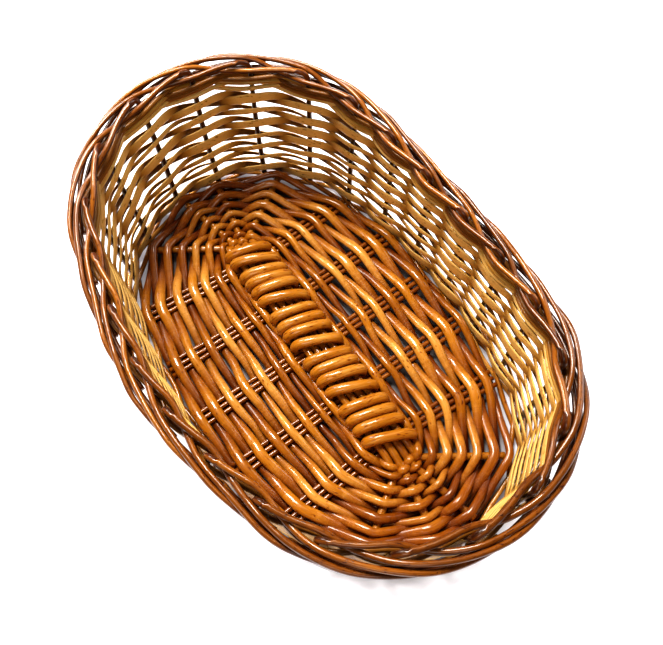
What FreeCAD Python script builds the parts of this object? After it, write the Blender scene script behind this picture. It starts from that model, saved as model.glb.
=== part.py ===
"""Oval woven wicker basket, modelled rod by rod as a basket maker builds it.

Frame: millimetres, +Z up, the basket stands on z = 0 with the middle of its base on the Z axis.
+X runs along the basket's length.

The base is four long sticks side by side along X, five crossings of three short sticks each,
a binding rod wound round the long sticks between the crossings, and fourteen rounds of
weavers that lie in turn over and under the sticks. Twenty-four stakes stand round the base.
Each one carries on past the rim as a border rod: it bends over anticlockwise, passes inside
the next stake, comes out under that stake's own rod and runs outside four more. Seven rows of
split strips are paired round the stakes, one strip inside them and one outside, and a wale
closes the wall's foot and its top. Every oval is four arcs, two of them round the ends and two
along the sides.
"""
import FreeCAD, Part

import math
import os
from dataclasses import dataclass

Vec = FreeCAD.Vector
UP = Vec(0, 0, 1)

# Driving dimensions of the base, in millimetres.
BASE_HALF_LENGTH = 150.0
BASE_HALF_WIDTH = 91.0
BASE_END_RADIUS = 82.4
BASE_MID_HEIGHT = 7.4            # the plane that the sticks lie in
LONG_STICK_DIAMETER = 5.0
LONG_STICK_GAP = 0.2
FAN_ANGLES = (-56.0, -12.0, 12.0, 56.0)     # one for each long stick, past the binding
FAN_START = 97.0                 # where the long sticks turn into the fan, along X
SPINE_HEIGHT = 11.6              # middle of the long sticks where they are bound
SPINE_END = 85.5                 # where the long sticks start down to the base's own plane
SPINE_RAMP = 8.0
CROSSINGS = 5
CROSSING_SPACING = 39.0
SHORT_STICKS_PER_CROSSING = 3
SHORT_STICK_DIAMETER = 3.2
SHORT_STICK_GAP = 0.3
END_CROSSING_SPLAY = 5.0         # sideways lean of the outer crossings' tips
STICK_END_GAP = 2.0              # how far the sticks stop inside the base's edge

# Binding rod.
BINDING_DIAMETER = 5.0
WRAPS_PER_BAY = 3
WRAP_PITCH = 6.4
WRAP_SLANT = 9.0                 # how far a wrap travels along X from side to side
CROSSING_WRAP_SLANT = 16.0
BINDING_BEND = 4.6               # how far each side of a corner its bend reaches

# Base weavers.
BASE_ROUNDS = 14
WEAVER_DIAMETER = 4.8
INNER_ROUND_HALF_LENGTH = 98.0
INNER_ROUND_HALF_WIDTH = 19.0
INNER_ROUND_END_RADIUS = 17.0
OUTER_ROUND_INSET = 3.4          # the last round's middle line, inside the base's edge

# Wall.
STAKES = 24
STAKE_DIAMETER = 3.4
STAKE_FOOT_HEIGHT = 1.5
WALL_FOOT_OFFSET = 3.0           # the stakes' line outside the base's edge, at the foot
WALL_RIM_OFFSET = 9.5            # the same at the rim
RIM_HEIGHT = 103.0               # where the stakes bend over, mean round the basket
RIM_SADDLE = 15.4                # how much higher the rim is at the ends than at the sides
WALL_ROWS = 7
FIRST_ROW_HEIGHT = 13.0
ROW_PITCH = 10.6
STRIP_HEIGHT = 4.6
STRIP_THICKNESS = 1.2
STRIP_CLEARANCE = 0.1
FOOT_WALE_HEIGHT = 5.5
FOOT_WALE_THICKNESS = 4.0
TOP_WALE_DROP = 16.5             # its middle below the rim's height
TOP_WALE_SIZE = 3.0

# Border: a rod's way round the rim, from its own stake on. Each entry is the number of stakes
# passed, the distance outside the stakes' line, and the height over the rim's.
BORDER_STEPS = (
    (0.0, 0.0, 1.0),             # over the top of its own stake
    (1.0, -5.5, -1.5),           # inside the next one
    (1.5, -0.6, -5.0),           # out between two stakes, under the next rod
    (2.0, 4.4, -1.8),            # then outside four stakes, lower at each
    (3.0, 7.6, -4.0),
    (4.0, 9.0, -8.0),
    (5.0, 6.6, -12.4),
)
BORDER_BEND = 7.0                # how far each side of a corner its bend reaches

BEND_SHARE = 0.45                # share of the shorter run that a bend's arc takes up


@dataclass(frozen=True)
class Oval:
    """A closed outline of four tangent arcs, centred on the Z axis."""

    half_length: float
    half_width: float
    end_radius: float

    @property
    def side_radius(self) -> float:
        """Radius of the two long side arcs."""
        reach = self.half_length - self.end_radius
        rise = self.half_width - self.end_radius
        return (reach ** 2 + self.half_width ** 2 - self.end_radius ** 2) / (2 * rise)

    @property
    def join_angle(self) -> float:
        """Angle from +X at which an end arc meets a side arc, in degrees."""
        return math.degrees(math.atan2(self.side_radius - self.half_width,
                                       self.half_length - self.end_radius))

    def grown(self, offset: float) -> "Oval":
        """The same outline moved outwards by an even offset."""
        return Oval(self.half_length + offset, self.half_width + offset,
                    self.end_radius + offset)

    def arcs(self) -> list:
        """The arcs' centres, radii, start angles and sweeps, in degrees, in order from +X."""
        reach = self.half_length - self.end_radius
        drop = self.side_radius - self.half_width
        join = self.join_angle
        end_sweep = 2 * join
        side_sweep = 180 - 2 * join
        return [
            (Vec(reach, 0, 0), self.end_radius, -join, end_sweep),
            (Vec(0, -drop, 0), self.side_radius, join, side_sweep),
            (Vec(-reach, 0, 0), self.end_radius, 180 - join, end_sweep),
            (Vec(0, drop, 0), self.side_radius, 180 + join, side_sweep),
        ]

    def point(self, share: float, offset: float, height: float) -> Vec:
        """A point at a share of the way round from +X, moved outwards by an offset."""
        lengths = [radius * math.radians(sweep) for _, radius, _, sweep in self.arcs()]
        travel = (share % 1.0) * sum(lengths) + lengths[0] / 2
        travel %= sum(lengths)
        for (centre, radius, start, sweep), length in zip(self.arcs(), lengths):
            if travel <= length:
                angle = math.radians(start + sweep * travel / length)
                out = Vec(math.cos(angle), math.sin(angle), 0)
                return centre + out * (radius + offset) + UP * height
            travel -= length
        raise ValueError("the share lies outside the outline")


BASE = Oval(BASE_HALF_LENGTH, BASE_HALF_WIDTH, BASE_END_RADIUS)


def saddle(x: float, height: float) -> float:
    """Height at x of a line round the wall whose mean height is given."""
    reach = BASE_HALF_LENGTH + WALL_RIM_OFFSET
    lift = RIM_SADDLE * ((x / reach) ** 2 - 0.5)
    return height + lift * max(height, 0) / RIM_HEIGHT


def wall_offset(height: float) -> float:
    """Offset of the stakes' line from the base's edge at a height."""
    return WALL_FOOT_OFFSET + (WALL_RIM_OFFSET - WALL_FOOT_OFFSET) * height / RIM_HEIGHT


def revolved(oval: Oval, profile) -> Part.Shape:
    """A closed ring: a section carried round the oval's four arcs and joined into one solid.

    profile(radius) gives the section's face in the XZ plane for an arc of that radius.
    """
    pieces = []
    for centre, radius, start, sweep in oval.arcs():
        face = profile(radius)
        face.rotate(Vec(0, 0, 0), UP, start)
        face.translate(centre)
        pieces.append(face.revolve(centre, UP, sweep))
    return pieces[0].multiFuse(pieces[1:]).removeSplitter()


def round_ring(oval: Oval, height: float, diameter: float) -> Part.Shape:
    """A closed ring of round section that lies level."""
    def profile(radius: float) -> Part.Face:
        circle = Part.Circle(Vec(radius, 0, height), Vec(0, 1, 0), diameter / 2)
        return Part.Face(Part.Wire(circle.toShape()))
    return revolved(oval, profile)


def leaning_band(inner: float, outer: float, low: float, high: float) -> Part.Shape:
    """A ring of wall between two offsets from the stakes' line and two level heights."""
    def profile(radius: float) -> Part.Face:
        corners = [
            Vec(radius + wall_offset(low) + inner, 0, low),
            Vec(radius + wall_offset(low) + outer, 0, low),
            Vec(radius + wall_offset(high) + outer, 0, high),
            Vec(radius + wall_offset(high) + inner, 0, high),
        ]
        return Part.Face(Part.makePolygon(corners + corners[:1]))
    return revolved(BASE, profile)


def saddle_slab(height: float, thickness: float) -> Part.Shape:
    """A sheet that dips along the Y axis as the rim does, at a mean height."""
    reach = BASE_HALF_LENGTH + WALL_RIM_OFFSET
    rise = RIM_SADDLE * height / RIM_HEIGHT
    bend = reach ** 2 / (2 * rise)
    low_point = saddle(0, height)
    width = 2 * (BASE_HALF_WIDTH + 2 * WALL_RIM_OFFSET)
    length = 1.2 * reach

    def edge_at(level: float) -> list:
        return [Vec(x, -width / 2, level + bend - math.sqrt(bend ** 2 - x ** 2))
                for x in (-length, 0, length)]

    lower = edge_at(low_point - thickness / 2)
    upper = edge_at(low_point + thickness / 2)
    edges = [
        Part.Arc(*lower).toShape(),
        Part.makeLine(lower[2], upper[2]),
        Part.Arc(upper[2], upper[1], upper[0]).toShape(),
        Part.makeLine(upper[0], lower[0]),
    ]
    return Part.Face(Part.Wire(edges)).extrude(Vec(0, width, 0))


def wall_strip(side: int, height: float, tall: float, thick: float) -> Part.Shape:
    """A closed strip of the wall, inside (-1) or outside (+1) the stakes."""
    near = STAKE_DIAMETER / 2 + STRIP_CLEARANCE
    inner, outer = sorted((side * near, side * (near + thick)))
    swing = RIM_SADDLE / 2 + tall
    band = leaning_band(inner, outer, height - swing, height + swing)
    return band.common(saddle_slab(height, tall)).Solids[0]


def rod(points: list, diameter: float, reach: float = math.inf) -> Part.Shape:
    """A round rod along straight runs joined by tangent arcs.

    An arc starts at most `reach` before its corner and ends as far past it.
    """
    edges = []
    start = points[0]
    for before, corner, after in zip(points, points[1:], points[2:]):
        arrive = (corner - before).normalize()
        leave = (after - corner).normalize()
        shorter = min((corner - before).Length, (after - corner).Length)
        room = min(BEND_SHARE * shorter, reach)
        first = corner - arrive * room
        last = corner + leave * room
        half_turn = arrive.getAngle(leave) / 2
        depth = room * math.tan(half_turn / 2)
        middle = corner + (leave - arrive).normalize() * depth
        edges.append(Part.makeLine(start, first))
        edges.append(Part.Arc(first, middle, last).toShape())
        start = last
    edges.append(Part.makeLine(start, points[-1]))
    section = Part.Circle(points[0], points[1] - points[0], diameter / 2)
    return Part.Wire(edges).makePipe(Part.Face(Part.Wire(section.toShape())))


def lane_offset(index: int) -> float:
    """Distance of a long stick's middle line from the spine's."""
    return (index - (len(FAN_ANGLES) - 1) / 2) * (LONG_STICK_DIAMETER + LONG_STICK_GAP)


def fan_reach(start: Vec, heading: Vec) -> float:
    """How far a level line runs from a point until it is near the base's edge."""
    centre = Vec(BASE_HALF_LENGTH - BASE_END_RADIUS, 0, start.z)
    radius = BASE_END_RADIUS - STICK_END_GAP
    along = heading.dot(start - centre)
    return -along + math.sqrt(along ** 2 - (start - centre).Length ** 2 + radius ** 2)


def long_stick(index: int) -> Part.Shape:
    """One of the four long base sticks: bound in the middle, fanned out at both ends."""
    lane = lane_offset(index)
    angle = math.radians(FAN_ANGLES[index])
    heading = Vec(math.cos(angle), math.sin(angle), 0)
    turn = Vec(FAN_START, lane * 1.15, BASE_MID_HEIGHT)
    half = [
        Vec(SPINE_END, lane, SPINE_HEIGHT),
        Vec(SPINE_END + SPINE_RAMP, lane * 1.1, BASE_MID_HEIGHT),
        turn,
        turn + heading * fan_reach(turn, heading),
    ]
    mirrored = [Vec(-p.x, p.y, p.z) for p in reversed(half)]
    return rod(mirrored + half, LONG_STICK_DIAMETER)


def crossing_x(index: int) -> float:
    """Place of a crossing along the spine."""
    return (index - (CROSSINGS - 1) / 2) * CROSSING_SPACING


def side_reach(x: float) -> float:
    """Half the base's width at x, less the gap at a stick's end."""
    radius = BASE.side_radius
    middle = math.sqrt(radius ** 2 - x ** 2) - (radius - BASE_HALF_WIDTH)
    return middle - STICK_END_GAP


def crossing(index: int) -> Part.Shape:
    """Three short sticks side by side under the long ones; the outer crossings splay."""
    place = crossing_x(index)
    lean = END_CROSSING_SPLAY * (index - (CROSSINGS - 1) / 2) / ((CROSSINGS - 1) / 2)
    pitch = SHORT_STICK_DIAMETER + SHORT_STICK_GAP
    tip = place + lean * abs(lean) / END_CROSSING_SPLAY
    bend_at = INNER_ROUND_HALF_WIDTH
    sticks = []
    for lane in range(SHORT_STICKS_PER_CROSSING):
        shift = (lane - (SHORT_STICKS_PER_CROSSING - 1) / 2) * pitch
        reach = side_reach(tip + shift)
        if tip == place:
            points = [Vec(place + shift, y, BASE_MID_HEIGHT) for y in (-reach, reach)]
        else:
            points = [
                Vec(tip + shift, -reach, BASE_MID_HEIGHT),
                Vec(place + shift, -bend_at, BASE_MID_HEIGHT),
                Vec(place + shift, bend_at, BASE_MID_HEIGHT),
                Vec(tip + shift, reach, BASE_MID_HEIGHT),
            ]
        sticks.append(rod(points, SHORT_STICK_DIAMETER))
    return Part.makeCompound(sticks)


def wrap_corners(x: float, slant: float, under: float) -> list:
    """Four corners of one turn round the long sticks, starting low on the -Y side."""
    side = lane_offset(len(FAN_ANGLES) - 1) + (LONG_STICK_DIAMETER + BINDING_DIAMETER) / 2
    side += LONG_STICK_GAP
    top = SPINE_HEIGHT + (LONG_STICK_DIAMETER + BINDING_DIAMETER) / 2 + 0.1
    return [
        Vec(x - slant / 2, -side, under),
        Vec(x - slant / 2, -side, top),
        Vec(x + slant / 2, side, top),
        Vec(x + slant / 2, side, under),
    ]


def binding(bay: int) -> Part.Shape:
    """The binding rod's turns round the spine between two crossings."""
    under = SPINE_HEIGHT - (LONG_STICK_DIAMETER + BINDING_DIAMETER) / 2 - 0.1
    middle = (crossing_x(bay) + crossing_x(bay + 1)) / 2
    corners = []
    for turn in range(WRAPS_PER_BAY):
        x = middle + (turn - (WRAPS_PER_BAY - 1) / 2) * WRAP_PITCH
        corners.extend(wrap_corners(x, WRAP_SLANT, under))
    return rod(corners, BINDING_DIAMETER, BINDING_BEND)


def binding_crossings() -> Part.Shape:
    """One slanting turn over each crossing, which also holds its short sticks."""
    under = BASE_MID_HEIGHT - SHORT_STICK_DIAMETER / 2
    turns = []
    for index in range(CROSSINGS):
        corners = wrap_corners(crossing_x(index), CROSSING_WRAP_SLANT, under)
        turns.append(rod(corners, BINDING_DIAMETER, BINDING_BEND))
    return Part.makeCompound(turns)


def base_oval(round_index: int) -> Oval:
    """Middle line of a base round, from long and narrow at the spine to the base's own oval."""
    share = round_index / (BASE_ROUNDS - 1)
    outer = BASE.grown(-OUTER_ROUND_INSET)

    def between(first: float, last: float) -> float:
        return first + (last - first) * share

    return Oval(between(INNER_ROUND_HALF_LENGTH, outer.half_length),
                between(INNER_ROUND_HALF_WIDTH, outer.half_width),
                between(INNER_ROUND_END_RADIUS, outer.end_radius))


def base_rounds(pair: int) -> Part.Shape:
    """Two neighbouring rounds of base weaver: one under the sticks and the next one over."""
    gap = (LONG_STICK_DIAMETER + WEAVER_DIAMETER) / 2 + 0.05
    low = round_ring(base_oval(2 * pair), BASE_MID_HEIGHT - gap, WEAVER_DIAMETER)
    high = round_ring(base_oval(2 * pair + 1), BASE_MID_HEIGHT + gap, WEAVER_DIAMETER)
    return Part.makeCompound([low, high])


def rim_point(index: int, passed: float, out: float, over: float) -> Vec:
    """A point of a stake's border rod, some stakes further on round the rim."""
    share = (index + 0.5 + passed) / STAKES
    on_rim = BASE.point(share, wall_offset(RIM_HEIGHT), 0)
    height = saddle(on_rim.x, RIM_HEIGHT) + over
    return BASE.point(share, wall_offset(height) + out, height)


def stake(index: int) -> Part.Shape:
    """A stake with its own border rod, from the wall's foot to the thin end under the rim."""
    foot = BASE.point((index + 0.5) / STAKES, wall_offset(STAKE_FOOT_HEIGHT),
                      STAKE_FOOT_HEIGHT)
    border = [rim_point(index, *step) for step in BORDER_STEPS]
    return rod([foot] + border, STAKE_DIAMETER, BORDER_BEND)


def wall_row(row: int) -> Part.Shape:
    """One row of pairing: a split strip inside the stakes and another outside."""
    height = FIRST_ROW_HEIGHT + row * ROW_PITCH
    strips = [wall_strip(side, height, STRIP_HEIGHT, STRIP_THICKNESS) for side in (-1, 1)]
    return Part.makeCompound(strips)


def top_wale() -> Part.Shape:
    """Two stout rods round the stakes, just below the border."""
    height = RIM_HEIGHT - TOP_WALE_DROP
    rods = [wall_strip(side, height, TOP_WALE_SIZE, TOP_WALE_SIZE) for side in (-1, 1)]
    return Part.makeCompound(rods)


def foot_wale() -> Part.Shape:
    """The wale outside the stakes' feet; its flat underside is what the basket stands on."""
    near = STAKE_DIAMETER / 2 + STRIP_CLEARANCE
    return leaning_band(near, near + FOOT_WALE_THICKNESS, 0, FOOT_WALE_HEIGHT)


def build_nodes() -> dict:
    """Every node of the basket by name."""
    nodes = {}
    for index in range(len(FAN_ANGLES)):
        nodes[f"long_stick_{index + 1}"] = long_stick(index)
    for index in range(CROSSINGS):
        nodes[f"short_sticks_{index + 1}"] = crossing(index)
    for bay in range(CROSSINGS - 1):
        nodes[f"binding_{bay + 1}"] = binding(bay)
    nodes["binding_crossings"] = binding_crossings()
    for pair in range(BASE_ROUNDS // 2):
        nodes[f"base_rounds_{pair + 1}"] = base_rounds(pair)
    for index in range(STAKES):
        nodes[f"stake_{index + 1:02d}"] = stake(index)
    for row in range(WALL_ROWS):
        nodes[f"wall_row_{row + 1}"] = wall_row(row)
    nodes["top_wale"] = top_wale()
    nodes["foot_wale"] = foot_wale()
    return nodes


def main() -> None:
    """Build every node and write one STEP file for each."""
    os.makedirs("parts", exist_ok=True)
    for name, shape in build_nodes().items():
        for solid in shape.Solids:
            if not solid.isValid() or solid.Volume <= 0:
                raise ValueError(f"{name} has a solid that isn't sound")
        shape.exportStep(f"parts/{name}.step")
        print(f"{name}: {len(shape.Solids)} solids, {shape.Volume / 1000:.2f} cm3")


main()
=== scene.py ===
"""A varnished oval willow basket, woven rod by rod round the frame that the CAD model gives.

Every rod and strip is made straight, as it is cut, and is then bent along its way through the
weave. Lengths are in metres, and sizes are written in millimetres times MM.
"""

import logging
import math
import random
from dataclasses import dataclass, field
from enum import Enum
from typing import Sequence

import bmesh
import bpy
from mathutils import Matrix, Vector, noise


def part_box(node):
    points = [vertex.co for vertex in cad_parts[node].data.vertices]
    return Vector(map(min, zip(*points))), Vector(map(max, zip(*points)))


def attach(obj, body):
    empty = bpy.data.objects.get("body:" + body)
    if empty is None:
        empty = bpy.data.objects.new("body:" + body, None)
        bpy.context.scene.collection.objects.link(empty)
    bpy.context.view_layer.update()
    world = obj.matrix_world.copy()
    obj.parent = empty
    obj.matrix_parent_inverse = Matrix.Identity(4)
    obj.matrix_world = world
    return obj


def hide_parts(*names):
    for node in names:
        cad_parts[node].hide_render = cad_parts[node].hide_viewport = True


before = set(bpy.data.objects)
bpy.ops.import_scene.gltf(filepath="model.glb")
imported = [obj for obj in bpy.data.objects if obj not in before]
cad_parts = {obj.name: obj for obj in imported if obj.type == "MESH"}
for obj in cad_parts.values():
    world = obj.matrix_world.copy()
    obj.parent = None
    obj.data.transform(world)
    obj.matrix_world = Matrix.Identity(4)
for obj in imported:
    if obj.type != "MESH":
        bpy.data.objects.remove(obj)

MM = 0.001
UP = Vector((0.0, 0.0, 1.0))
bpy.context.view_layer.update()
LOG = logging.getLogger("basket")
STAKE_HALF = 1.7 * MM           # how near a strand's face comes to the stakes' middle line
STRAND_STEPS = 14               # points of a strand from one stake to the next
WALE_STEPS = 12                 # the same for a rod of the foot wale
ROUND_SAMPLES = 720             # places tried when looking for where a round meets a stick
TURN_STEPS = 60                 # points of one turn of the binding
DENT_REACH = 0.15               # how far the dent runs each way, as a share of the way round
FOOT_WALE_REACH = 9.15 * MM     # how far the frame's foot wale stands outside the base's edge


# ---- The basket's outline ----

@dataclass(frozen=True)
class Oval:
    """A closed outline of four tangent arcs, centred on the Z axis.

    Attributes:
        half_length: Half its length along X.
        half_width: Half its width along Y.
        end_radius: Radius of its two end arcs.
        dent: How far the hand-made outline is pressed in at one place.
        dent_share: Where that is, as a share of the way round from the +X end.
    """

    half_length: float
    half_width: float
    end_radius: float
    dent: float = 0.0
    dent_share: float = 0.93

    def dented(self, share: float) -> float:
        """How far the outline is pressed in at a share of the way round."""
        away = abs((share - self.dent_share + 0.5) % 1.0 - 0.5) / DENT_REACH
        return self.dent * (1 + math.cos(math.pi * min(1.0, away))) / 2

    @property
    def side_radius(self) -> float:
        """Radius of the two long side arcs."""
        reach = self.half_length - self.end_radius
        rise = self.half_width - self.end_radius
        return (reach ** 2 + self.half_width ** 2 - self.end_radius ** 2) / (2 * rise)

    def grown(self, offset: float) -> "Oval":
        """The same outline moved outwards by an even offset."""
        return Oval(self.half_length + offset, self.half_width + offset,
                    self.end_radius + offset, self.dent)

    def arcs(self) -> list[tuple[Vector, float, float, float]]:
        """The arcs' centres, radii, start angles and sweeps, in order from the +X end."""
        reach = self.half_length - self.end_radius
        drop = self.side_radius - self.half_width
        join = math.atan2(drop, reach)
        return [
            (Vector((reach, 0, 0)), self.end_radius, -join, 2 * join),
            (Vector((0, -drop, 0)), self.side_radius, join, math.pi - 2 * join),
            (Vector((-reach, 0, 0)), self.end_radius, math.pi - join, 2 * join),
            (Vector((0, drop, 0)), self.side_radius, math.pi + join, math.pi - 2 * join),
        ]

    @property
    def length(self) -> float:
        """Length of the outline."""
        return sum(radius * sweep for _, radius, _, sweep in self.arcs())

    def at(self, share: float) -> tuple[Vector, Vector]:
        """A point of the outline and the way out from it.

        Args:
            share: Share of the way round, anticlockwise from the +X end.

        Returns:
            The point and the outward unit vector, both level.
        """
        arcs = self.arcs()
        lengths = [radius * sweep for _, radius, _, sweep in arcs]
        travel = ((share % 1.0) * sum(lengths) + lengths[0] / 2) % sum(lengths)
        for (centre, radius, start, sweep), length in zip(arcs, lengths):
            if travel <= length:
                angle = start + sweep * travel / length
                out = Vector((math.cos(angle), math.sin(angle), 0.0))
                return centre + out * (radius - self.dented(share)), out
            travel -= length
        return self.at(0.0)


@dataclass(frozen=True)
class Wall:
    """The stakes' leaning line round the basket, unrolled: stakes along, offset out, height up.

    Attributes:
        base: The base's own outline.
        stakes: Number of stakes.
        rim_height: Mean height at which the stakes bend over.
        foot_offset: Offset of the stakes' line from the base at the floor.
        rim_offset: Offset of the stakes' line from the base at the rim.
        dip: How much lower the rim is at the sides than at the ends.
        leans: How far the hand-made rim leans out at every third stake, from the +X end.
    """

    base: Oval
    stakes: int = 24
    rim_height: float = 103.0 * MM
    foot_offset: float = 3.0 * MM
    rim_offset: float = 9.5 * MM
    dip: float = 15.4 * MM
    leans: tuple[float, ...] = (0.6, -0.4, -4.0, 1.4, 1.0, -0.8, 2.6, -1.4)

    @property
    def spacing(self) -> float:
        """Distance between stakes at the rim."""
        return self.base.grown(self.rim_offset).length / self.stakes

    def offset(self, height: float) -> float:
        """Offset of the stakes' line from the base's edge at a height."""
        return self.foot_offset + (self.rim_offset - self.foot_offset) * height / self.rim_height

    def lean(self, passed: float) -> float:
        """How far the rim leans out there, eased between the places where it is given."""
        spot = passed / self.stakes * len(self.leans) % len(self.leans)
        first = int(spot) % len(self.leans)
        share = (1 - math.cos(math.pi * (spot - int(spot)))) / 2
        after = self.leans[(first + 1) % len(self.leans)]
        return (self.leans[first] + (after - self.leans[first]) * share) * MM

    def place(self, passed: float, out: float, height: float) -> tuple[Vector, Vector]:
        """A point near the wall.

        Args:
            passed: Stakes counted from the +X end, anticlockwise.
            out: Distance outside the stakes' line.
            height: Height before the rim's dip is taken into account.

        Returns:
            The point and the level direction straight out of the wall.
        """
        point, outward = self.base.at(passed / self.stakes)
        up_share = max(height, 0.0) / self.rim_height
        out += self.lean(passed) * up_share ** 2
        out += self.base.dented(passed / self.stakes) * min(1.0, up_share)
        reach = self.base.half_length + self.rim_offset
        lift = self.dip * ((point.x / reach) ** 2 - 0.5) * max(height, 0.0) / self.rim_height
        return point + outward * (self.offset(height) + out) + UP * (height + lift), outward


def frame_oval() -> Oval:
    """The base's outline, found from the frame's foot wale, which stands outside it."""
    low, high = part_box("foot_wale")
    half_length = (high[0] - low[0]) / 2 - FOOT_WALE_REACH
    half_width = (high[1] - low[1]) / 2 - FOOT_WALE_REACH
    return Oval(half_length, half_width, half_width - 8.6 * MM, 6.0 * MM)


# ---- Rods and strips ----

class Section(Enum):
    """What a rod looks like where it is cut across."""

    ROUND = "round"
    SPLIT = "split"


def rounded(corners: Sequence[Vector], step: float, reach: float = math.inf) -> list[Vector]:
    """An even row of points along straight runs whose corners are bent.

    Args:
        corners: The runs' corners, in order.
        step: Distance between points, about.
        reach: How far from its corner a bend starts at most.

    Returns:
        Points from the first corner to the last.
    """
    fine: list[Vector] = [corners[0]]
    for before, corner, after in zip(corners, corners[1:], corners[2:]):
        room = min(0.5 * (corner - before).length, 0.5 * (after - corner).length, reach)
        first = corner + (before - corner).normalized() * room
        last = corner + (after - corner).normalized() * room
        for index in range(9):
            share = index / 8
            fine.append(first.lerp(corner, share).lerp(corner.lerp(last, share), share))
    fine.append(corners[-1])
    return evenly(fine, step)


def evenly(fine: Sequence[Vector], step: float) -> list[Vector]:
    """Points an even step apart along a row of points that isn't even."""
    lengths = [0.0]
    for first, second in zip(fine, fine[1:]):
        lengths.append(lengths[-1] + (second - first).length)
    count = max(2, round(lengths[-1] / step))
    points = []
    place = 0
    for index in range(count + 1):
        target = lengths[-1] * index / count
        while place < len(fine) - 2 and lengths[place + 1] < target:
            place += 1
        span = max(lengths[place + 1] - lengths[place], 1e-9)
        points.append(fine[place].lerp(fine[place + 1], (target - lengths[place]) / span))
    return points


def eased(points: Sequence[Vector], times: int) -> list[Vector]:
    """A row of points with its corners eased, keeping its first and last points."""
    row = list(points)
    for _ in range(times):
        middle = [(before + point * 2 + after) / 4
                  for before, point, after in zip(row, row[1:], row[2:])]
        row = [row[0]] + middle + [row[-1]]
    return row


@dataclass
class Rod:
    """One willow rod or split strip, made straight and then bent along its way.

    Attributes:
        way: Points of its middle line.
        facing: For each point, roughly the way that its skin faces.
        width: Its width, across its facing.
        thickness: Its thickness, along its facing.
        tone: Its own colour, from 0, pale, to 1, dark.
        section: Its section.
        tip: Share of its size that is left at its far end.
        sides: Sides of its section.
        painted_shade: For each point, how much painted shade it gets, from 0 in the open to 1 where
            the weave covers it.
        breadth: For each point, a factor on its width.
        rough: How uneven its thickness is.
        shade: How dark the painted shade on its lower flanks is.
        shade_line: How far up its flanks the painted shade starts, from 0 at its middle to 1 at its
            crest.
        under: For each point, how much painted shade the face turned away from its facing gets.
    """

    way: Sequence[Vector]
    facing: Sequence[Vector]
    width: float
    thickness: float
    tone: float
    section: Section = Section.ROUND
    tip: float = 1.0
    sides: int = 10
    painted_shade: Sequence[float] | None = None
    breadth: Sequence[float] | None = None
    rough: float = 0.06
    shade: float = 0.9
    shade_line: float = 0.05
    under: Sequence[float] | None = None

    def across(self, x: float, y: float) -> tuple[float, float]:
        """Turns a point of a unit circle into a point of the section."""
        if self.section is Section.ROUND:
            return x * self.width / 2, y * self.thickness / 2
        flat = math.copysign(abs(x) ** 0.7, x)
        crown = abs(y) ** (0.9 if y > 0 else 0.35)
        return flat * self.width / 2, math.copysign(crown, y) * self.thickness / 2

    def straight(self) -> bmesh.types.BMesh:
        """A straight rod along Z with one ring for each point of its way."""
        rings = len(self.way) - 1
        shape = bmesh.new()
        bmesh.ops.create_cone(shape, cap_ends=True, segments=self.sides, radius1=1.0,
                              radius2=1.0, depth=rings, matrix=Matrix.Translation((0, 0, rings / 2)))
        long_edges = [edge for edge in shape.edges
                      if abs(edge.verts[0].co.z - edge.verts[1].co.z) > 0.5]
        if rings > 1:
            bmesh.ops.subdivide_edges(shape, edges=long_edges, cuts=rings - 1, use_grid_fill=True)
        return shape

    def darkened(self, y: float) -> float:
        """How much painted shade a point of a round rod's unit circle gets: most on its lower
        flanks, less on its underside.
        """
        if self.section is Section.SPLIT:
            return 0.0
        depth = min(1.0, max(0.0, (self.shade_line - y) / 0.7))
        underside_fade = min(1.0, max(0.0, (-0.5 - y) / 0.4))
        return self.shade * depth * depth * (3 - 2 * depth) * (1 - 0.75 * underside_fade)

    def frames(self) -> list[tuple[Vector, Vector, Vector]]:
        """For each point: the point, the direction across, and the direction that faces out."""
        found = []
        last = len(self.way) - 1
        for index, point in enumerate(self.way):
            ahead = self.way[min(index + 1, last)] - self.way[max(index - 1, 0)]
            along = ahead.normalized()
            face = self.facing[index]
            face = (face - along * face.dot(along)).normalized()
            found.append((point, face.cross(along), face))
        return found

    def add_to(self, piece: bmesh.types.BMesh) -> None:
        """Bends the rod along its way and adds it to a piece."""
        shape = self.straight()
        grain = shape.verts.layers.float_vector.new("grain")
        look = shape.verts.layers.float_vector.new("look")
        frames = self.frames()
        rings = len(frames) - 1
        step = (self.way[1] - self.way[0]).length
        start = Vector((self.tone * 31.7, self.way[0].x * 97.0, self.way[0].y * 83.0))
        for vert in shape.verts:
            ring = round(vert.co.z)
            point, side, face = frames[ring]
            share = ring / rings
            swell = 1.0 + self.rough * noise.noise(start + UP * (ring * step / (14 * MM)))
            size = swell * (1.0 + (self.tip - 1.0) * share)
            x, y = self.across(vert.co.x, vert.co.y)
            # Painted shade: each point's own share, the lower flanks and the turned-away face are
            # darkened.
            painted_shade = self.painted_shade[ring] if self.painted_shade else 0.0
            painted_shade = max(painted_shade, self.darkened(vert.co.y))
            if self.under and vert.co.y < -0.1:
                painted_shade = max(painted_shade, self.under[ring])
            breadth = self.breadth[ring] if self.breadth else 1.0
            vert[grain] = (x, y, ring * step)
            vert[look] = (self.tone, painted_shade, share)
            vert.co = point + side * (x * size * breadth) + face * (y * size)
        for face in shape.faces:
            face.smooth = len(face.verts) == 4
        made = bpy.data.meshes.new("rod")
        shape.to_mesh(made)
        shape.free()
        piece.from_mesh(made)
        bpy.data.meshes.remove(made)


def link(name: str, data: bpy.types.ID) -> bpy.types.Object:
    """Makes an object of some data and puts it in the scene."""
    made = bpy.data.objects.new(name, data)
    bpy.context.scene.collection.objects.link(made)
    return made


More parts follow.
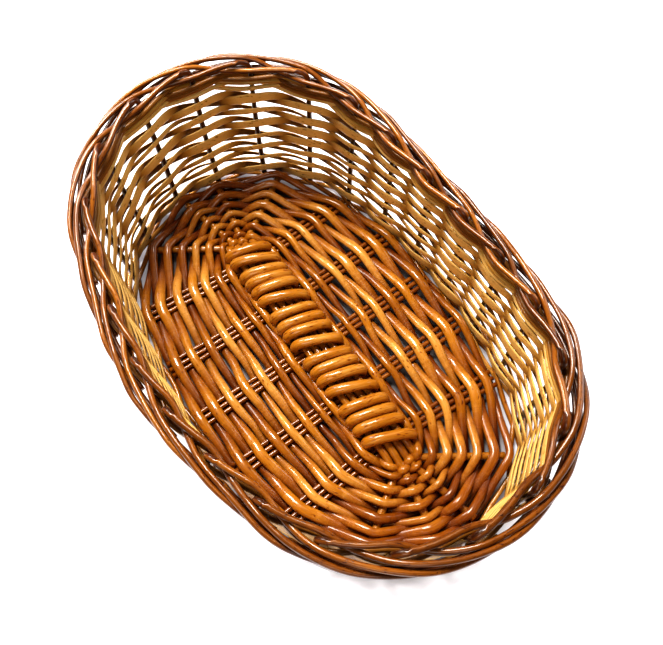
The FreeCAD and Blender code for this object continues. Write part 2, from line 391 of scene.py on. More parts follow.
class Piece:
    """A named piece of the basket: rods joined in one mesh, which rides on the frame."""

    def __init__(self, name: str, rods: Sequence[Rod], stands_for: str,
                 material: bpy.types.Material, slot: str) -> None:
        """Args:
            name: The piece's name.
            rods: The rods that it is made of.
            stands_for: The CAD node that it replaces.
            material: Its finish.
            slot: The record's material slot; not used.
        """
        shape = bmesh.new()
        for rod in rods:
            rod.add_to(shape)
        bmesh.ops.recalc_face_normals(shape, faces=shape.faces)
        mesh = bpy.data.meshes.new(name)
        shape.to_mesh(mesh)
        shape.free()
        mesh.materials.append(material)
        self.object = link(name, mesh)
        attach(self.object, "root")
        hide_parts(stands_for)
        LOG.info("%s: %d rods, %d faces", name, len(rods), len(mesh.polygons))


# ---- Finishes ----

def linear(code: str) -> tuple[float, float, float, float]:
    """Turns an sRGB hex colour into linear RGBA."""
    parts = [int(code[index:index + 2], 16) / 255 for index in (1, 3, 5)]
    light = [part / 12.92 if part <= 0.04045 else ((part + 0.055) / 1.055) ** 2.4 for part in parts]
    return (*light, 1.0)


def add_node(tree: bpy.types.NodeTree, kind: str, settings: dict | None = None,
             inputs: dict | None = None) -> bpy.types.Node:
    """Adds a node with its settings, and its inputs as values or links.

    Args:
        tree: The node tree.
        kind: The node's type.
        settings: Properties of the node by name.
        inputs: Input sockets by name or number: a socket to link, or a value.

    Returns:
        The node.
    """
    made = tree.nodes.new(kind)
    for key, value in (settings or {}).items():
        setattr(made, key, value)
    for key, value in (inputs or {}).items():
        if isinstance(value, bpy.types.NodeSocket):
            tree.links.new(value, made.inputs[key])
        else:
            made.inputs[key].default_value = value
    return made


def combine(tree: bpy.types.NodeTree, operation: str,
            *values: bpy.types.NodeSocket | float) -> bpy.types.NodeSocket:
    """Adds a math node and gives its result."""
    made = add_node(tree, "ShaderNodeMath", {"operation": operation}, dict(enumerate(values)))
    return made.outputs["Value"]


def remap(tree: bpy.types.NodeTree, value: bpy.types.NodeSocket,
          source: tuple[float, float] = (0.0, 1.0),
          target: tuple[float, float] = (0.0, 1.0)) -> bpy.types.NodeSocket:
    """Carries one range of values to another and clamps the result."""
    names = ("Value", "From Min", "From Max", "To Min", "To Max")
    inputs = dict(zip(names, (value, *source, *target)))
    return add_node(tree, "ShaderNodeMapRange", inputs=inputs).outputs["Result"]


def blend(tree: bpy.types.NodeTree, share: bpy.types.NodeSocket,
          first: bpy.types.NodeSocket | tuple,
          second: bpy.types.NodeSocket | tuple) -> bpy.types.NodeSocket:
    """Mixes two colours."""
    inputs = {0: share, 6: first, 7: second}
    return add_node(tree, "ShaderNodeMix", {"data_type": "RGBA"}, inputs).outputs[2]


@dataclass(frozen=True)
class WillowFinish:
    """Stained willow under varnish, on peeled rods or on strips split from them.

    Attributes:
        name: The material's name.
        pale: Colour of a pale rod.
        middle: Colour of most rods.
        dark: Colour of a dark rod.
        shade_and_fleck_colour: Colour of the painted shade down in the weave, also used for the dark
            flecks.
        shade_and_fleck_strength: How far that colour takes over, from 0 to 1.
        fibre: Width of the wood's fibres as they show.
        roughness: Roughness of the varnish.
        gloss: Weight of the clear coat.
        pith: Colour of a strip's flat inner face, or nothing on a whole rod.
    """

    name: str
    pale: str
    middle: str
    dark: str
    shade_and_fleck_colour: str
    shade_and_fleck_strength: float
    fibre: float
    roughness: float
    gloss: float
    pith: str | None = None

    def build(self) -> bpy.types.Material:
        """Makes the material."""
        material = bpy.data.materials.new(self.name)
        material.use_nodes = True
        tree = material.node_tree
        tree.nodes.clear()
        grain = add_node(tree, "ShaderNodeAttribute", {"attribute_name": "grain"})
        look = add_node(tree, "ShaderNodeAttribute", {"attribute_name": "look"})
        parts = add_node(tree, "ShaderNodeSeparateXYZ", inputs={0: look.outputs["Vector"]})
        # Each rod reads its own stretch of the pattern: its tone moves it across the fibres.
        shift = add_node(tree, "ShaderNodeVectorMath", {"operation": "SCALE"},
                         {0: look.outputs["Vector"], "Scale": 0.37})
        own = add_node(tree, "ShaderNodeVectorMath", {"operation": "ADD"},
                       {0: grain.outputs["Vector"], 1: shift.outputs["Vector"]})
        # Fibres run along the rod: fine across it and forty times as long along it.
        fibres = self.pattern(tree, own.outputs["Vector"], self.fibre, 0.025, 3.0, 0.6)
        # Clouds a few centimetres long where the rod took more or less stain.
        clouds = self.pattern(tree, own.outputs["Vector"], 7 * MM, 0.3, 2.0, 0.5)
        mixed = combine(tree, "MULTIPLY_ADD", clouds, 0.9, parts.outputs["X"])
        spread = combine(tree, "MULTIPLY_ADD", fibres, 1.2, mixed)
        stain = remap(tree, spread, (0.7, 2.4))
        ramp = add_node(tree, "ShaderNodeValToRGB", inputs={0: stain})
        ramp.color_ramp.elements[0].color = linear(self.pale)
        ramp.color_ramp.elements[1].color = linear(self.dark)
        ramp.color_ramp.elements.new(0.45).color = linear(self.middle)
        colour = ramp.outputs["Color"]
        if self.pith is not None:
            colour = self.pith_face(tree, grain.outputs["Vector"], fibres, colour)
        # Dark flecks about a millimetre across, where buds and bark scars took up more stain.
        flecks = self.pattern(tree, own.outputs["Vector"], 1.1 * MM, 0.22, 1.0, 0.5)
        spots = remap(tree, flecks, (0.62, 0.74), (0.0, 0.55))
        # The look attribute's second value is the painted shade; the flecks are joined to it.
        down = combine(tree, "MAXIMUM", parts.outputs["Y"], spots)
        # Painted shade and flecks darken the colour through a gamma, which takes blue and green out
        # before red, and then mix in the shade colour.
        shade_and_fleck_gamma = combine(tree, "MULTIPLY_ADD", down, 0.9, 1.0)
        shade_and_fleck_toned = add_node(tree, "ShaderNodeGamma", inputs={"Color": colour, "Gamma": shade_and_fleck_gamma})
        shade_and_fleck_share = combine(tree, "MULTIPLY", down, self.shade_and_fleck_strength)
        darkened = blend(tree, shade_and_fleck_share, shade_and_fleck_toned.outputs["Color"], linear(self.shade_and_fleck_colour))
        worn = remap(tree, clouds, target=(self.roughness * 0.8, self.roughness * 1.3))
        bump = add_node(tree, "ShaderNodeBump",
                        inputs={"Height": fibres, "Strength": 0.5,
                                "Distance": 0.25 * MM})
        shader = add_node(tree, "ShaderNodeBsdfPrincipled",
                          inputs={"Base Color": darkened, "Roughness": worn,
                                  "Normal": bump.outputs["Normal"], "IOR": 1.5,
                                  "Specular IOR Level": 0.35,
                                  "Specular Tint": linear("#FFD8A8"),
                                  "Coat Weight": self.gloss, "Coat Roughness": 0.08,
                                  "Coat IOR": 1.5})
        add_node(tree, "ShaderNodeOutputMaterial", inputs={"Surface": shader.outputs["BSDF"]})
        return material

    @staticmethod
    def pattern(tree: bpy.types.NodeTree, place: bpy.types.NodeSocket, size: float,
                along: float, detail: float, roughness: float) -> bpy.types.NodeSocket:
        """Adds noise that is drawn out along the rod.

        Args:
            tree: The node tree.
            place: Where on the rod the pattern is read.
            size: Size of the pattern across the rod.
            along: Its rate along the rod, as a share of that across.
            detail: How many finer layers it has.
            roughness: How strong the finer layers are.

        Returns:
            The pattern's value.
        """
        drawn = add_node(tree, "ShaderNodeMapping",
                         inputs={"Vector": place, "Scale": (1.0, 1.0, along)})
        made = add_node(tree, "ShaderNodeTexNoise",
                        inputs={"Vector": drawn.outputs["Vector"], "Scale": 1.0 / size,
                                "Detail": detail, "Roughness": roughness})
        return made.outputs["Fac"]

    def pith_face(self, tree: bpy.types.NodeTree, grain: bpy.types.NodeSocket,
                  fibres: bpy.types.NodeSocket, skin: bpy.types.NodeSocket) -> bpy.types.NodeSocket:
        """Mixes the pale, open wood of a strip's flat face with the colour of its skin."""
        across = add_node(tree, "ShaderNodeSeparateXYZ", inputs={0: grain})
        side = remap(tree, across.outputs["Y"], (-0.1 * MM, 0.35 * MM))
        wood = blend(tree, fibres, linear(self.pith), linear(self.middle))
        return blend(tree, side, wood, skin)


# In each finish below, the fourth colour and the number after it are the painted shade down in the
# weave, also used for the dark flecks.
# Peeled willow rods, boiled, stained golden brown and dipped in gloss varnish: a warm,
# deep colour with sharp highlights along each rod.
BASE_ROD = WillowFinish("varnished_willow_rod", "#DCA04C", "#AA660E", "#743604", "#2C0800",
                        0.85, 0.5 * MM, 0.32, 0.6)
# The same rods with their brown bark steamed on: redder and darker, with the same varnish.
BORDER_ROD = WillowFinish("varnished_buff_willow_rod", "#BC7420", "#844606", "#4A1C02", "#120200",
                          0.9, 0.5 * MM, 0.32, 0.55)
# Willow split and shaved to flat skeins: glossy skin outside, open pale pith inside.
SPLIT_STRIP = WillowFinish("shaved_willow_skein", "#FAD892", "#DCA64C", "#9A5A1A", "#1C0500",
                           0.95, 0.35 * MM, 0.45, 0.2, "#F0C678")

# ---- The base ----

@dataclass
class Base:
    """The oval base: long sticks bound over short ones, with rounds of weaver about them.

    Attributes:
        oval: The base's outline.
        material: The finish of its rods.
        chance: The seeded source of its unevenness.
        middle: Height of the plane that the sticks lie in.
        spine: Height of the long sticks where they are bound.
        lane: Distance between the long sticks' middles.
        fan: Angle of each long stick past the binding, in degrees.
        splay: How far the outer crossings' tips lean towards the ends.
        inner: The first round's middle line.
        binding: Thickness of the binding rod.
        tautness: How straight a weaver runs between sticks, from 0 to 1.
        bow: How far it bows in and out as it passes over and under.
    """

    oval: Oval
    material: bpy.types.Material
    chance: random.Random = field(default_factory=lambda: random.Random(7))
    middle: float = 7.4 * MM
    spine: float = 11.6 * MM
    long_stick: float = 5.0 * MM
    lane: float = 5.2 * MM
    fan: tuple[float, ...] = (-56.0, -12.0, 12.0, 56.0)
    fan_start: float = 97.0 * MM
    spine_end: float = 85.5 * MM
    crossings: int = 5
    crossing_spacing: float = 39.0 * MM
    short_stick: float = 3.2 * MM
    splay: float = 5.0 * MM
    rounds: int = 14
    inner: Oval = Oval(95.5 * MM, 15.6 * MM, 13.8 * MM)
    binding: float = 6.9 * MM
    crossing_slant: float = 11.5 * MM
    bay_slant: float = 7.5 * MM
    # The three turns in each bay, as distances from the crossing before it.
    bay_turns: tuple[float, float, float] = (12.6 * MM, 20.6 * MM, 28.4 * MM)
    weaver_height: float = 4.3 * MM
    tautness: float = 0.8
    bow: float = 0.8 * MM

    def long_way(self, index: int) -> list[Vector]:
        """Corners of a long stick: bound in the middle and fanned out at both ends."""
        lane = (index - 1.5) * self.lane
        angle = math.radians(self.fan[index])
        heading = Vector((math.cos(angle), math.sin(angle), 0))
        turn = Vector((self.fan_start, lane * 1.15, self.middle))
        centre = Vector((self.oval.half_length - self.oval.end_radius, 0, self.middle))
        radius = self.oval.end_radius - 4 * MM
        along = heading.dot(turn - centre)
        reach = -along + math.sqrt(along ** 2 - (turn - centre).length_squared + radius ** 2)
        half = [
            Vector((self.spine_end, lane, self.spine)),
            Vector((self.spine_end + 8 * MM, lane * 1.1, self.middle)),
            turn,
            turn + heading * reach,
        ]
        return [Vector((-p.x, p.y, p.z)) for p in reversed(half)] + half

    def crossing_x(self, index: int) -> float:
        """Place of a crossing along the spine."""
        return (index - (self.crossings - 1) / 2) * self.crossing_spacing

    def short_way(self, index: int, lane: float) -> list[Vector]:
        """Corners of a short stick; the outer crossings splay towards the base's ends."""
        place = self.crossing_x(index)
        lean = (index - (self.crossings - 1) / 2) / ((self.crossings - 1) / 2)
        tip = place + self.splay * lean * abs(lean)
        shift = lane * (self.short_stick + 0.3 * MM)
        radius = self.oval.side_radius
        reach = math.sqrt(radius ** 2 - (tip + shift) ** 2) - (radius - self.oval.half_width)
        reach -= 2 * MM
        bend = self.inner.half_width
        return [
            Vector((tip + shift * 1.3, -reach, self.middle)),
            Vector((place + shift, -bend, self.middle)),
            Vector((place + shift, bend, self.middle)),
            Vector((tip + shift * 1.3, reach, self.middle)),
        ]

    def ring(self, index: int) -> Oval:
        """Middle line of a round, from long and narrow at the spine to the base's own oval.

        The first rounds are slim and lie close, so the spacing grows to an even one.
        """
        last = self.rounds - 1
        share = (index - 0.9 * (1 - math.exp(-index / 1.2))) / (last - 0.9)
        outer = self.oval.grown(-2.8 * MM)
        return Oval(self.inner.half_length + (outer.half_length - self.inner.half_length) * share,
                    self.inner.half_width + (outer.half_width - self.inner.half_width) * share,
                    self.inner.end_radius + (outer.end_radius - self.inner.end_radius) * share,
                    outer.dent * share ** 4)

    def spokes(self) -> list[tuple[list[Vector], float]]:
        """The plan line of every group of stick ends, and half its sticks' thickness."""
        lines = []
        for index in range(self.crossings):
            way = self.short_way(index, 0.0)
            lines.append((way[:2], self.short_stick / 2))
            lines.append((way[2:], self.short_stick / 2))
        for index in range(len(self.fan)):
            way = self.long_way(index)
            lines.append((way[:3], self.long_stick / 2))
            lines.append((way[-3:], self.long_stick / 2))
        return lines

    def passes(self, oval: Oval) -> list[tuple[float, float]]:
        """Where a round passes each group of sticks: its share of the way, and their half size."""
        shares = [index / ROUND_SAMPLES for index in range(ROUND_SAMPLES)]
        samples = [(share, oval.at(share)[0]) for share in shares]
        found = []
        for line, half in self.spokes():
            def gap(point: Vector) -> float:
                """Distance in plan from a point to the spoke."""
                best = math.inf
                for first, last in zip(line, line[1:]):
                    first, last = first.xy, last.xy
                    run = last - first
                    share = min(1.0, max(0.0, (point.xy - first).dot(run) / run.length_squared))
                    best = min(best, (point.xy - first - run * share).length)
                return best
            found.append((min(samples, key=lambda sample: gap(sample[1]))[0], half))
        return sorted(found)

    def weaver(self, index: int) -> Rod:
        """One round: over one group of sticks and under the next, all the way round."""
        oval = self.ring(index)
        passes = self.passes(oval)
        width = self.weaver_width(index)
        height = min(self.weaver_height, width)
        seed = self.chance.uniform(0, 100)
        count = round(oval.length / (2.0 * MM))
        # Both ends lie under a stick, where a weaver is joined.
        joint = passes[2 * self.chance.randrange(len(passes) // 2) + (index + 1) % 2][0]
        way, painted_shade, breadth = [], [], []
        for step in range(count + 1):
            share = step / count + joint
            level = self.level(share % 1.0, passes, index, height)
            point, outward = self.strung(oval, share, passes)
            shared = noise.noise(Vector((share * 9, index * 0.22, 3))) * 2.2 * MM
            sway = noise.noise(Vector((share * 30, seed, 0))) * 1.1 * MM + shared
            bow = level / height * self.bow
            drift = noise.noise(Vector((share * 12, seed, 9))) * 0.5 * MM
            way.append(point + outward * (sway + bow) + UP * (self.middle + level + drift))
            rise = level / (height / 2 + self.short_stick / 2)
            # Painted shade: darker where the weaver dips under the sticks, and towards the base's
            # ends, in the wall's shade.
            painted_shade.append(0.5 * min(1.0, max(0.0, (0.6 - rise) / 1.4)) + 0.25 * self.endness(point))
            uneven = 0.2 * noise.noise(Vector((share * 11, seed, 4)))
            packed = 0.1 * rise if rise > 0 else -0.12 * rise
            slim = 0.28 * self.endness(point) * (1 - 0.6 * index / self.rounds)
            breadth.append((1.0 + packed + uneven) * (1 - slim))
        return Rod(eased(way, 2), [UP] * len(way), width, height, self.chance.random(),
                   painted_shade=painted_shade, breadth=breadth, sides=12, rough=0.1)

    def weaver_width(self, index: int) -> float:
        """Width of a round's weaver: slim beside the spine and stout further out."""
        growth = min(1.0, index / 4)
        return (4.1 + 1.6 * growth + self.chance.uniform(-0.9, 0.9)) * MM

    def endness(self, point: Vector) -> float:
        """How far a point lies in the base's ends, from 0 to 1."""
        return min(1.0, max(0.0, (abs(point.x) / self.oval.half_length - 0.6) / 0.2))

    def strung(self, oval: Oval, share: float,
               passes: list[tuple[float, float]]) -> tuple[Vector, Vector]:
        """A point of a round that runs nearly straight from one group of sticks to the next."""
        point, outward = oval.at(share)
        for place, (start, _) in enumerate(passes):
            span = (passes[(place + 1) % len(passes)][0] - start) % 1.0
            into = (share - start) % 1.0
            if into <= span:
                chord = oval.at(start)[0].lerp(oval.at(start + span)[0], into / span)
                pull = self.tautness + (0.97 - self.tautness) * self.endness(point)
                return point.lerp(chord, pull), outward
        return point, outward

    def level(self, share: float, passes: list[tuple[float, float]], index: int,
              height: float) -> float:
        """Height of a weaver's middle over the sticks' middle at a share of the way round."""
        for place, (start, half) in enumerate(passes):
            end, next_half = passes[(place + 1) % len(passes)]
            span = (end - start) % 1.0
            into = (share - start) % 1.0
            if into <= span:
                wave = math.cos(math.pi * into / span)
                sign = 1 if (place + index) % 2 == 0 else -1
                size = half + (next_half - half) * into / span + height / 2
                return sign * math.copysign(abs(wave) ** 1.25, wave) * size
        return 0.0

    def turns(self) -> list[tuple[float, float]]:
        """Every turn of the binding: its place along the spine, and how far it slants."""
        made = [(self.crossing_x(0) - 4.5 * MM, self.bay_slant)]
        for index in range(self.crossings):
            start = self.crossing_x(index) + (4.5 * MM if index == 0 else 0.5 * MM)
            made.append((start, self.crossing_slant))
            if index < self.crossings - 1:
                squeeze = 0.87 if index == 0 else 1.0
                made.extend((start + place * squeeze + self.chance.uniform(-0.4, 0.4) * MM,
                             self.bay_slant + self.chance.uniform(-1, 1) * MM)
                            for place in self.bay_turns)
        return made

    def binding_way(self) -> list[Vector]:
        """The binding rod's way: turn after turn round the long sticks, leaning over crossings."""
        side = 1.5 * self.lane + self.long_stick / 2 + self.binding * 0.42
        half_height = (self.long_stick + self.binding) / 2 + 0.1 * MM
        turns = self.turns()
        way = []
        for place, (x, slant) in enumerate(turns):
            begin = x - slant / 2
            end = x + slant / 2
            later = turns[min(place + 1, len(turns) - 1)]
            following = later[0] - later[1] / 2
            for step in range(TURN_STEPS):
                angle = 2 * math.pi * step / TURN_STEPS
                swing = -math.cos(angle)
                rise = math.sin(angle)
                across = math.copysign(abs(swing) ** 0.72, swing)
                if rise >= 0:
                    along = begin + (end - begin) * (across + 1) / 2
                    height = rise ** 0.62 * (1 + 0.08 * (1 - across ** 2))
                else:
                    along = end + (following - end) * (1 - across) / 2
                    height = -abs(rise) ** 0.5
                way.append(Vector((along, across * side, self.spine + height * half_height)))
        return eased(evenly(way, 1.2 * MM), 2)

    def build(self) -> None:
        """Makes every stick, the binding and the rounds."""
        for index in range(len(self.fan)):
            way = rounded(self.long_way(index), 3 * MM)
            stick = Rod(way, [UP] * len(way), self.long_stick, self.long_stick,
                        self.chance.uniform(0.5, 1.0))
            self.piece(f"base_long_stick_{index + 1}", [stick], f"long_stick_{index + 1}")
        for index in range(self.crossings):
            sticks = []
            for lane in (-1.0, 0.0, 1.0):
                way = rounded(self.short_way(index, lane), 3 * MM)
                # Painted shade: the short sticks lie below the weavers; their tones come from a dark
                # range partly for that shade, and they get an even painted shade.
                sticks.append(Rod(way, [UP] * len(way), self.short_stick, self.short_stick,
                                  self.chance.uniform(0.6, 1.0), painted_shade=[0.25] * len(way)))
            self.piece(f"base_short_sticks_{index + 1}", sticks, f"short_sticks_{index + 1}")
        self.bind()
        for pair in range(self.rounds // 2):
            rods = [self.weaver(2 * pair), self.weaver(2 * pair + 1)]
            self.piece(f"base_weavers_{pair + 1}", rods, f"base_rounds_{pair + 1}")

    def piece(self, name: str, rods: Sequence[Rod], stands_for: str) -> Piece:
        """One piece of the base, in the base's finish."""
        return Piece(name, rods, stands_for, self.material, "varnished_base_rod")

    def bind(self) -> None:
        """Makes the binding rod, one piece for the whole spine."""
        way = self.binding_way()
        facing = [Vector((0.0, point.y, (point.z - self.spine) * 1.6)) for point in way]
        rod = Rod(way, facing, self.binding, self.binding * 0.94, 0.35, sides=14, rough=0.1)
        piece = self.piece("spine_binding", [rod], "binding_crossings")
        for bay in range(self.crossings - 1):
            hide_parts(f"binding_{bay + 1}")


# ---- The wall ----

@dataclass
class Pairing:
    """One row of pairing round the stakes: two strands that change places between stakes.

    Attributes:
        wall: The wall that it is woven in.
        height: Its mean height.
        width: Width of a strand, up the wall.
        thickness: Its thickness, through the wall.
        lift: How far a strand rises and falls as it changes places.
        section: Its section.
        seed: Seed of its unevenness.
        pinch: How much narrower a strand is where it changes places; below 0, broader.
        waver: How far it strays up and down.
        sag: How much lower a strand lies outside a stake than inside one.
        taper: How much wider it shows inside a stake, and narrower outside one.
        uneven: How much its width varies.
    """

    wall: Wall
    height: float
    width: float
    thickness: float
    lift: float
    section: Section
    seed: int
    pinch: float = -0.2
    waver: float = 2.2 * MM
    sag: float = 3.4 * MM
    taper: float = 0.25
    uneven: float = 0.45

    def strand(self, which: int) -> Rod:
        """One of the two strands, right round the basket."""
        chance = random.Random(self.seed * 10 + which)
        swing = STAKE_HALF + self.thickness / 2 + 0.05 * MM
        turn = chance.uniform(0, 50)
        steps = self.wall.stakes * STRAND_STEPS
        # Both ends lie outside a stake, where a strand's ends are tucked away.
        begin = 2 * chance.randrange(self.wall.stakes // 2) + 1.5 - which
        split = self.section is Section.SPLIT
        way, facing, painted_shade, breadth, under = [], [], [], [], []
        for step in range(steps + 1):
            tau = begin + step / STRAND_STEPS
            around = tau % self.wall.stakes
            phase = math.pi * (tau + 0.5 + which)
            inward = math.cos(phase)
            out = inward * swing
            shared = noise.noise(Vector((around * 0.5, self.seed, 0))) * self.waver
            loose = min(1.0, step / STRAND_STEPS, (steps - step) / STRAND_STEPS)
            own = noise.noise(Vector((tau * 0.9, turn, 0))) * self.waver * 0.8 * loose
            drop = ((1 + inward) / 2) ** 2 * self.sag
            rise = math.sin(phase) * self.lift - drop
            point, outward = self.wall.place(tau, out, self.height + rise + shared + own)
            way.append(point)
            # A round strand faces up and a little inwards, so the painted shade on its flanks falls
            # low on its outer side.
            facing.append(outward if split else UP - outward * 0.4)
            # Painted shade: darker where the strands cross between stakes, and on a split strand's
            # inner face where it runs outside a stake.
            painted_shade.append(0.45 * max(0.0, 1.0 - abs(inward) * 1.8))
            under.append(min(0.95, max(0.0, 1.5 * inward + 0.3)) if split else 0.0)
            uneven = noise.noise(Vector((tau * 0.5, turn, 5))) * self.uneven
            breadth.append(1.0 + uneven - self.pinch * (1 - abs(inward)) - self.taper * inward)
        spread = self.uneven * 0.9
        width = self.width * chance.uniform(1 - spread, 1 + spread)
        return Rod(way, facing, width, self.thickness, chance.random(), self.section,
                   painted_shade=painted_shade, breadth=breadth, rough=0.16, sides=10, under=under)


@dataclass
class Waling:
    """A row of three rods, each outside two stakes and inside the third.

    Attributes:
        wall: The wall that it is woven in.
        height: Its mean height.
        thickness: Thickness of a rod.
        lift: How far a rod rises and falls.
        seed: Seed of the rods' tones.
    """

    wall: Wall
    height: float
    thickness: float
    lift: float
    seed: int

    def strand(self, which: int) -> Rod:
        """One of the three rods, right round the basket."""
        chance = random.Random(self.seed * 10 + which)
        swing = STAKE_HALF + self.thickness / 2
        steps = self.wall.stakes * WALE_STEPS
        way = []
        for step in range(steps + 1):
            tau = step / WALE_STEPS * 0.9992    # ends just short of its start
            phase = 2 * math.pi * (tau + 0.5 - which) / 3
            out = swing * (1 / 3 + math.cos(phase) * 4 / 3)
            rise = -self.lift * math.sin(phase)
            way.append(self.wall.place(tau, out, self.height + rise)[0])
        return Rod(way, [UP] * len(way), self.thickness, self.thickness, chance.random())


@dataclass
class Sides:
    """The basket's wall: stakes that run on into the border, and the rows woven round them.

    Attributes:
        wall: The wall's line.
        rod: Finish of the stakes, the top wale and the border.
        foot: Finish of the foot wale, which is woven from the base's own rods.
        strip: Finish of the split strips.
        chance: The seeded source of its unevenness.
    """

    wall: Wall
    rod: bpy.types.Material
    foot: bpy.types.Material
    strip: bpy.types.Material
    chance: random.Random = field(default_factory=lambda: random.Random(21))
    rows: int = 7
    first_row: float = 12.4 * MM
    row_pitch: float = 10.85 * MM
    stake_size: float = 3.9 * MM
    # A border rod's way: stakes passed, distance outside the stakes' line, height over the rim.
    border: tuple[tuple[float, float, float], ...] = (
        (0.0, 0.0, 1.0),
        (1.0, -5.5, -1.5),
        (1.5, -0.6, -5.0),
        (2.0, 3.8, -1.0),
        (2.8, 6.6, -1.4),
        (3.5, 9.6, -3.4),
        (4.2, 8.4, -7.0),
        (5.0, 6.8, -9.6),
        (6.4, 4.6, -12.8),
    )

    def stake(self, index: int) -> Rod:
        """A stake and its border rod, laid out on the unrolled wall and then wrapped round."""
        spacing = self.wall.spacing
        sway = self.chance.uniform(-1.6, 1.6) * MM
        corners = [
            Vector((0.0, 0.0, 1.8 * MM)),
            Vector((sway, 0.0, self.wall.rim_height * 0.5)),
        ]
        for place, (passed, out, over) in enumerate(self.border):
            shake = 0.7 * MM if place else 0.0
            corners.append(Vector((
                passed * spacing + self.chance.uniform(-1, 1) * 3 * shake,
                out * MM + self.chance.uniform(-1, 1) * shake,
                self.wall.rim_height + over * MM + self.chance.uniform(-1, 1) * shake)))
        flat = rounded(corners[:2], 2 * MM)[:-1] + rounded(corners[1:], 2 * MM, 7 * MM)
        way, facing, painted_shade, under = [], [], [], []
        for spot in flat:
            passed = index + 0.5 + spot.x / spacing
            point, outward = self.wall.place(passed, spot.y, spot.z)
            way.append(point)
            # Painted shade: uprights get it evenly and most on their inner face; border rods get it
            # low on their inner side, and more the lower they run below the rim.
            facing.append(outward if spot.x < 8 * MM else UP + outward * 0.35)
            upright = spot.x < 6 * MM and spot.z < self.wall.rim_height - 6 * MM
            low = (self.wall.rim_height - 4 * MM - spot.z) / (10 * MM)
            painted_shade.append(0.4 if upright else min(0.35, max(0.0, low)))
            under.append(1.0 if upright else 0.0)
        size = self.stake_size * self.chance.uniform(0.92, 1.12)
        return Rod(way, facing, size, size, self.chance.random(), tip=0.64, painted_shade=painted_shade, rough=0.1,
                   shade_line=0.2, under=under)

    def build(self) -> None:
        """Makes every stake, row and wale."""
        for index in range(self.wall.stakes):
            Piece(f"stake_{index + 1:02d}_rod", [self.stake(index)], f"stake_{index + 1:02d}",
                  self.rod, "border_rod")
        for row in range(self.rows):
            pairing = Pairing(self.wall, self.first_row + row * self.row_pitch, 5.0 * MM,
                              1.3 * MM, 2.6 * MM, Section.SPLIT, 40 + row)
            Piece(f"wall_strips_{row + 1}", [pairing.strand(0), pairing.strand(1)],
                  f"wall_row_{row + 1}", self.strip, "split_strip")
        top = []
        # Slim rows of strip, the upper ones in the shade of the border that they carry.
        for row, drop in enumerate((16.4, 13.0, 9.6)):
            pairing = Pairing(self.wall, self.wall.rim_height - drop * MM, 3.0 * MM, 2.8 * MM,
                              1.5 * MM, Section.ROUND, 60 + row, pinch=0.0, waver=1.0 * MM,
                              sag=0.0, taper=0.0, uneven=0.1)
            for which in range(2):
                rod = pairing.strand(which)
                rod.painted_shade = [0.15 + 0.25 * row] * len(rod.way)
                top.append(rod)
        Piece("top_wale_rods", top, "top_wale", self.strip, "border_rod")
        foot = [Waling(self.wall, 3.0 * MM, 3.4 * MM, 1.2 * MM, 70).strand(which)
                for which in range(3)]
        Piece("foot_wale_rods", foot, "foot_wale", self.foot, "varnished_base_rod")


# ---- Floor, lights and camera ----

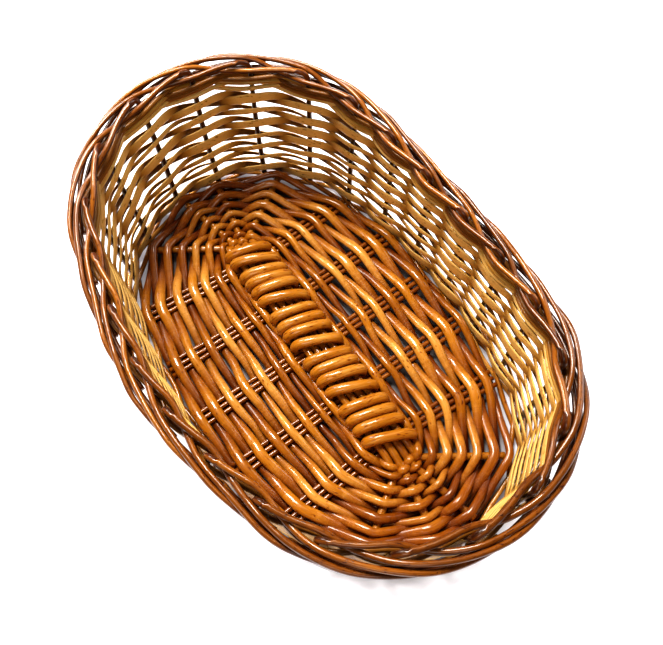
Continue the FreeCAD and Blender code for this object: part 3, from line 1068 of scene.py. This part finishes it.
@dataclass(frozen=True)
class Studio:
    """A pale floor with a painted shadow and glow, soft light and the camera over the basket.

    Attributes:
        azimuth: Angle round the basket, in degrees.
        elevation: Angle above the floor, in degrees.
        roll: Turn about the line of sight, in degrees.
        target: The point that it looks at, in millimetres.
        distance: Its distance from there, in millimetres.
        lens: Focal length on a 36 mm sensor, in millimetres.
    """

    azimuth: float = 57.1
    elevation: float = 64.3
    roll: float = -2.2
    target: tuple[float, float, float] = (-7.7, 17.3, 9.0)
    distance: float = 503.0
    lens: float = 41.49

    def place_camera(self) -> None:
        """Aims the camera down into the basket from beyond its near side."""
        around, lean = math.radians(self.azimuth), math.radians(self.elevation)
        back = Vector((math.sin(around) * math.cos(lean), -math.cos(around) * math.cos(lean),
                       math.sin(lean)))
        right = UP.cross(back).normalized()
        up = back.cross(right)
        turn = math.radians(self.roll)
        right, up = (right * math.cos(turn) + up * math.sin(turn),
                     up * math.cos(turn) - right * math.sin(turn))
        data = bpy.data.cameras.new("camera")
        data.lens = self.lens
        data.sensor_width = 36.0
        data.clip_start = 0.01
        camera = link("camera", data)
        place = Vector(self.target) * MM + back * (self.distance * MM)
        camera.matrix_world = Matrix((
            (right.x, up.x, back.x, place.x),
            (right.y, up.y, back.y, place.y),
            (right.z, up.z, back.z, place.z),
            (0, 0, 0, 1)))
        bpy.context.scene.camera = camera

    def place_light(self, name: str, spot: Vector, size: float, power: float) -> None:
        """Hangs a square soft box that looks at the basket."""
        data = bpy.data.lights.new(name, "AREA")
        data.shape = "SQUARE"
        data.size = size
        data.energy = power
        lamp = link(name, data)
        lamp.location = spot
        lamp.rotation_euler = (-spot).to_track_quat("-Z", "Y").to_euler()

    def lay_floor(self) -> None:
        """Lays the pale floor, with a painted shadow under the basket and a painted glow round it.
        """
        shape = bmesh.new()
        bmesh.ops.create_grid(shape, x_segments=1, y_segments=1, size=4.0)
        mesh = bpy.data.meshes.new("floor")
        shape.to_mesh(mesh)
        shape.free()
        floor = link("floor", mesh)
        material = bpy.data.materials.new("paper_sweep_painted_shadow_glow")
        material.use_nodes = True
        tree = material.node_tree
        shader = tree.nodes["Principled BSDF"]
        shader.inputs["Roughness"].default_value = 0.9
        # The colour of the painted glow outside the basket.
        shader.inputs["Emission Color"].default_value = linear("#FAF8FF")
        # By its distance from the middle, the sweep has a grey painted shadow under the basket and a
        # painted glow outside it.
        place = add_node(tree, "ShaderNodeTexCoord")
        scaled = add_node(tree, "ShaderNodeMapping", inputs={
            "Vector": place.outputs["Object"], "Scale": (1 / (152 * MM), 1 / (93 * MM), 1.0)})
        away = add_node(tree, "ShaderNodeVectorMath", {"operation": "LENGTH"},
                        {0: scaled.outputs["Vector"]})
        clear = remap(tree, away.outputs["Value"], (0.98, 1.15))
        glow = combine(tree, "MULTIPLY", clear, 0.5)
        paper = blend(tree, clear, linear("#8C8482"), linear("#F7F6F8"))
        tree.links.new(glow, shader.inputs["Emission Strength"])
        tree.links.new(paper, shader.inputs["Base Color"])
        mesh.materials.append(material)

    def build(self) -> None:
        """Sets up the whole studio."""
        self.lay_floor()
        self.place_camera()
        self.place_light("key_softbox", Vector((-0.50, 0.09, 1.0)), 0.35, 18.0)
        self.place_light("side_softbox", Vector((-1.0, -0.15, 0.8)), 0.4, 9.0)
        self.place_light("back_softbox", Vector((0.1, 1.1, 0.8)), 0.6, 6.0)
        self.place_light("fill_softbox", Vector((0.9, -0.9, 1.3)), 0.8, 7.0)
        world = bpy.data.worlds.new("studio")
        world.use_nodes = True
        sky = world.node_tree.nodes["Background"].inputs
        sky["Color"].default_value = (1, 1, 1, 1)
        sky["Strength"].default_value = 0.07
        scene = bpy.context.scene
        scene.world = world
        scene.view_settings.view_transform = "Standard"
        scene.view_settings.look = "Medium High Contrast"


def main() -> None:
    """Builds the basket and the studio round it."""
    logging.basicConfig(level=logging.INFO, format="%(name)s: %(message)s")
    oval = frame_oval()
    LOG.info("base outline %.1f by %.1f mm", oval.half_length / MM, oval.half_width / MM)
    base_rod = BASE_ROD.build()
    border_rod = BORDER_ROD.build()
    strip = SPLIT_STRIP.build()
    Base(oval, base_rod).build()
    Sides(Wall(oval), border_rod, base_rod, strip).build()
    Studio().build()


if __name__ == "__main__":
    main()
